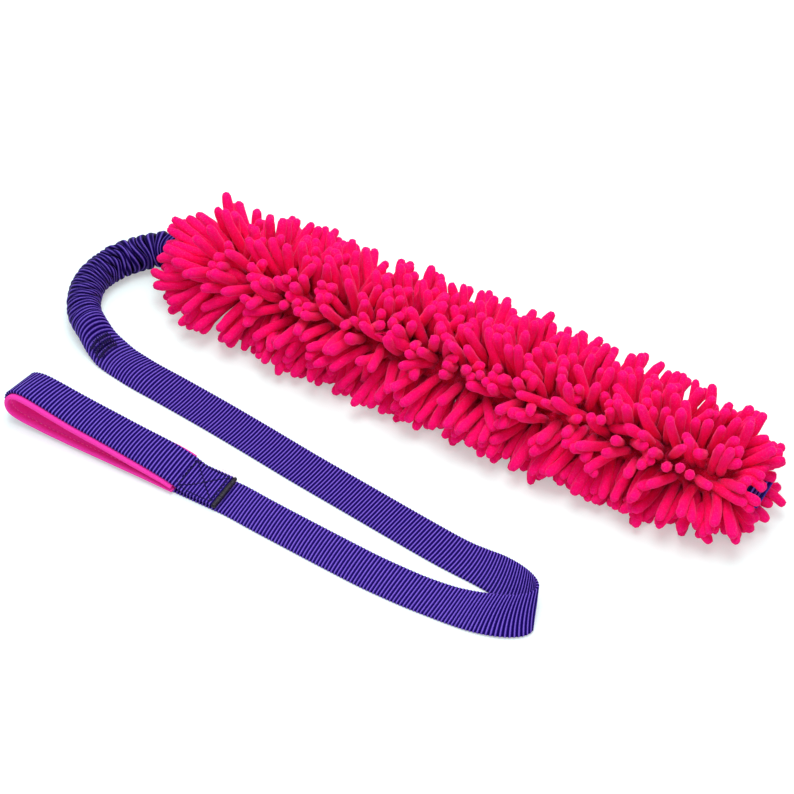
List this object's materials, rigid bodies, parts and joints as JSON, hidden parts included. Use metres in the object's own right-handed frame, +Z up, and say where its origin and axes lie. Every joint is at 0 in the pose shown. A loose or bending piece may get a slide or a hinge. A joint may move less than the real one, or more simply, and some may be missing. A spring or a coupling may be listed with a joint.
{
  "type": "bungee tug toy",
  "caption": "Flat webbing dog tug lead with a padded hand loop, a ruched bungee and a long chenille noodle mop.",
  "frame": {"origin": "on the floor, under the middle of the box round the mop, the bungee and the hand loop", "axes": "+X along the mop from the bungee to the tip, +Y from the lead towards the mop, +Z up from the floor"},
  "size_m": [0.4532, 0.1996, 0.0628],
  "materials": {
    "purple_nylon_webbing": "flat ribbed nylon webbing",
    "purple_ruched_webbing": "tubular nylon gathered into ribs",
    "white_elastic": "round covered elastic",
    "dark_purple_thread": "dense zigzag bonded thread",
    "heat_cut_nylon": "melted and slightly glossy",
    "pink_chenille": "fine fuzzy chenille pile",
    "pink_padded_fabric": "soft padded fleece",
    "pink_thread": "sewing thread",
    "white_label_satin": "smooth satin, bare"
  },
  "bodies": {
    "lead": {"lead_far_strand": "purple_nylon_webbing", "lead_bend": "purple_nylon_webbing", "lead_gather": "purple_nylon_webbing", "rear_bar_tack": "dark_purple_thread", "bungee_sleeve": "purple_ruched_webbing", "bungee_elastic": "white_elastic"},
    "bungee_front": {"front_bar_tack": "dark_purple_thread", "throat_hem": "pink_padded_fabric"},
    "mop": {"core_webbing": "purple_nylon_webbing", "tip_webbing_fold": "purple_nylon_webbing", "tip_bar_tack": "dark_purple_thread", "closing_seam": "pink_chenille", "mop_pile_1": "pink_chenille", "mop_pile_2": "pink_chenille", "mop_pile_3": "pink_chenille", "mop_pile_4": "pink_chenille", "mop_pile_5": "pink_chenille", "mop_pile_6": "pink_chenille", "mop_pile_7": "pink_chenille", "mop_pile_8": "pink_chenille"},
    "near_lead": {"lead_near_strand": "purple_nylon_webbing"},
    "hand_loop": {"hand_loop_webbing": "purple_nylon_webbing", "hand_loop_lining": "pink_padded_fabric", "lining_seam_near": "pink_thread", "lining_seam_far": "pink_thread", "box_stitch": "dark_purple_thread", "webbing_cut_end": "heat_cut_nylon", "label_tab": "white_label_satin"}
  },
  "joints": [
    {"name": "bungee_stretch", "type": "slide", "parent": "lead", "child": "bungee_front", "axis": [1, 0, 0], "range_m": [0, 0.15], "stiffness_N_per_m": 250, "deforming": ["bungee_sleeve", "bungee_elastic"]},
    {"name": "mop_swing", "type": "hinge", "parent": "bungee_front", "child": "mop", "pos_m": [-0.158, 0.05592, 0.026], "axis": [0, 0, 1], "range_deg": [-8, 35]},
    {"name": "lead_bend_open", "type": "hinge", "parent": "lead", "child": "near_lead", "pos_m": [0.1395, -0.07408, 0.001], "axis": [0, 0, 1], "range_deg": [-3, 45], "deforming": ["lead_bend"]},
    {"name": "loop_lift", "type": "hinge", "parent": "near_lead", "child": "hand_loop", "pos_m": [-0.054, -0.08308, 0.002], "axis": [0, 1, 0], "range_deg": [0, 60]}
  ]
}
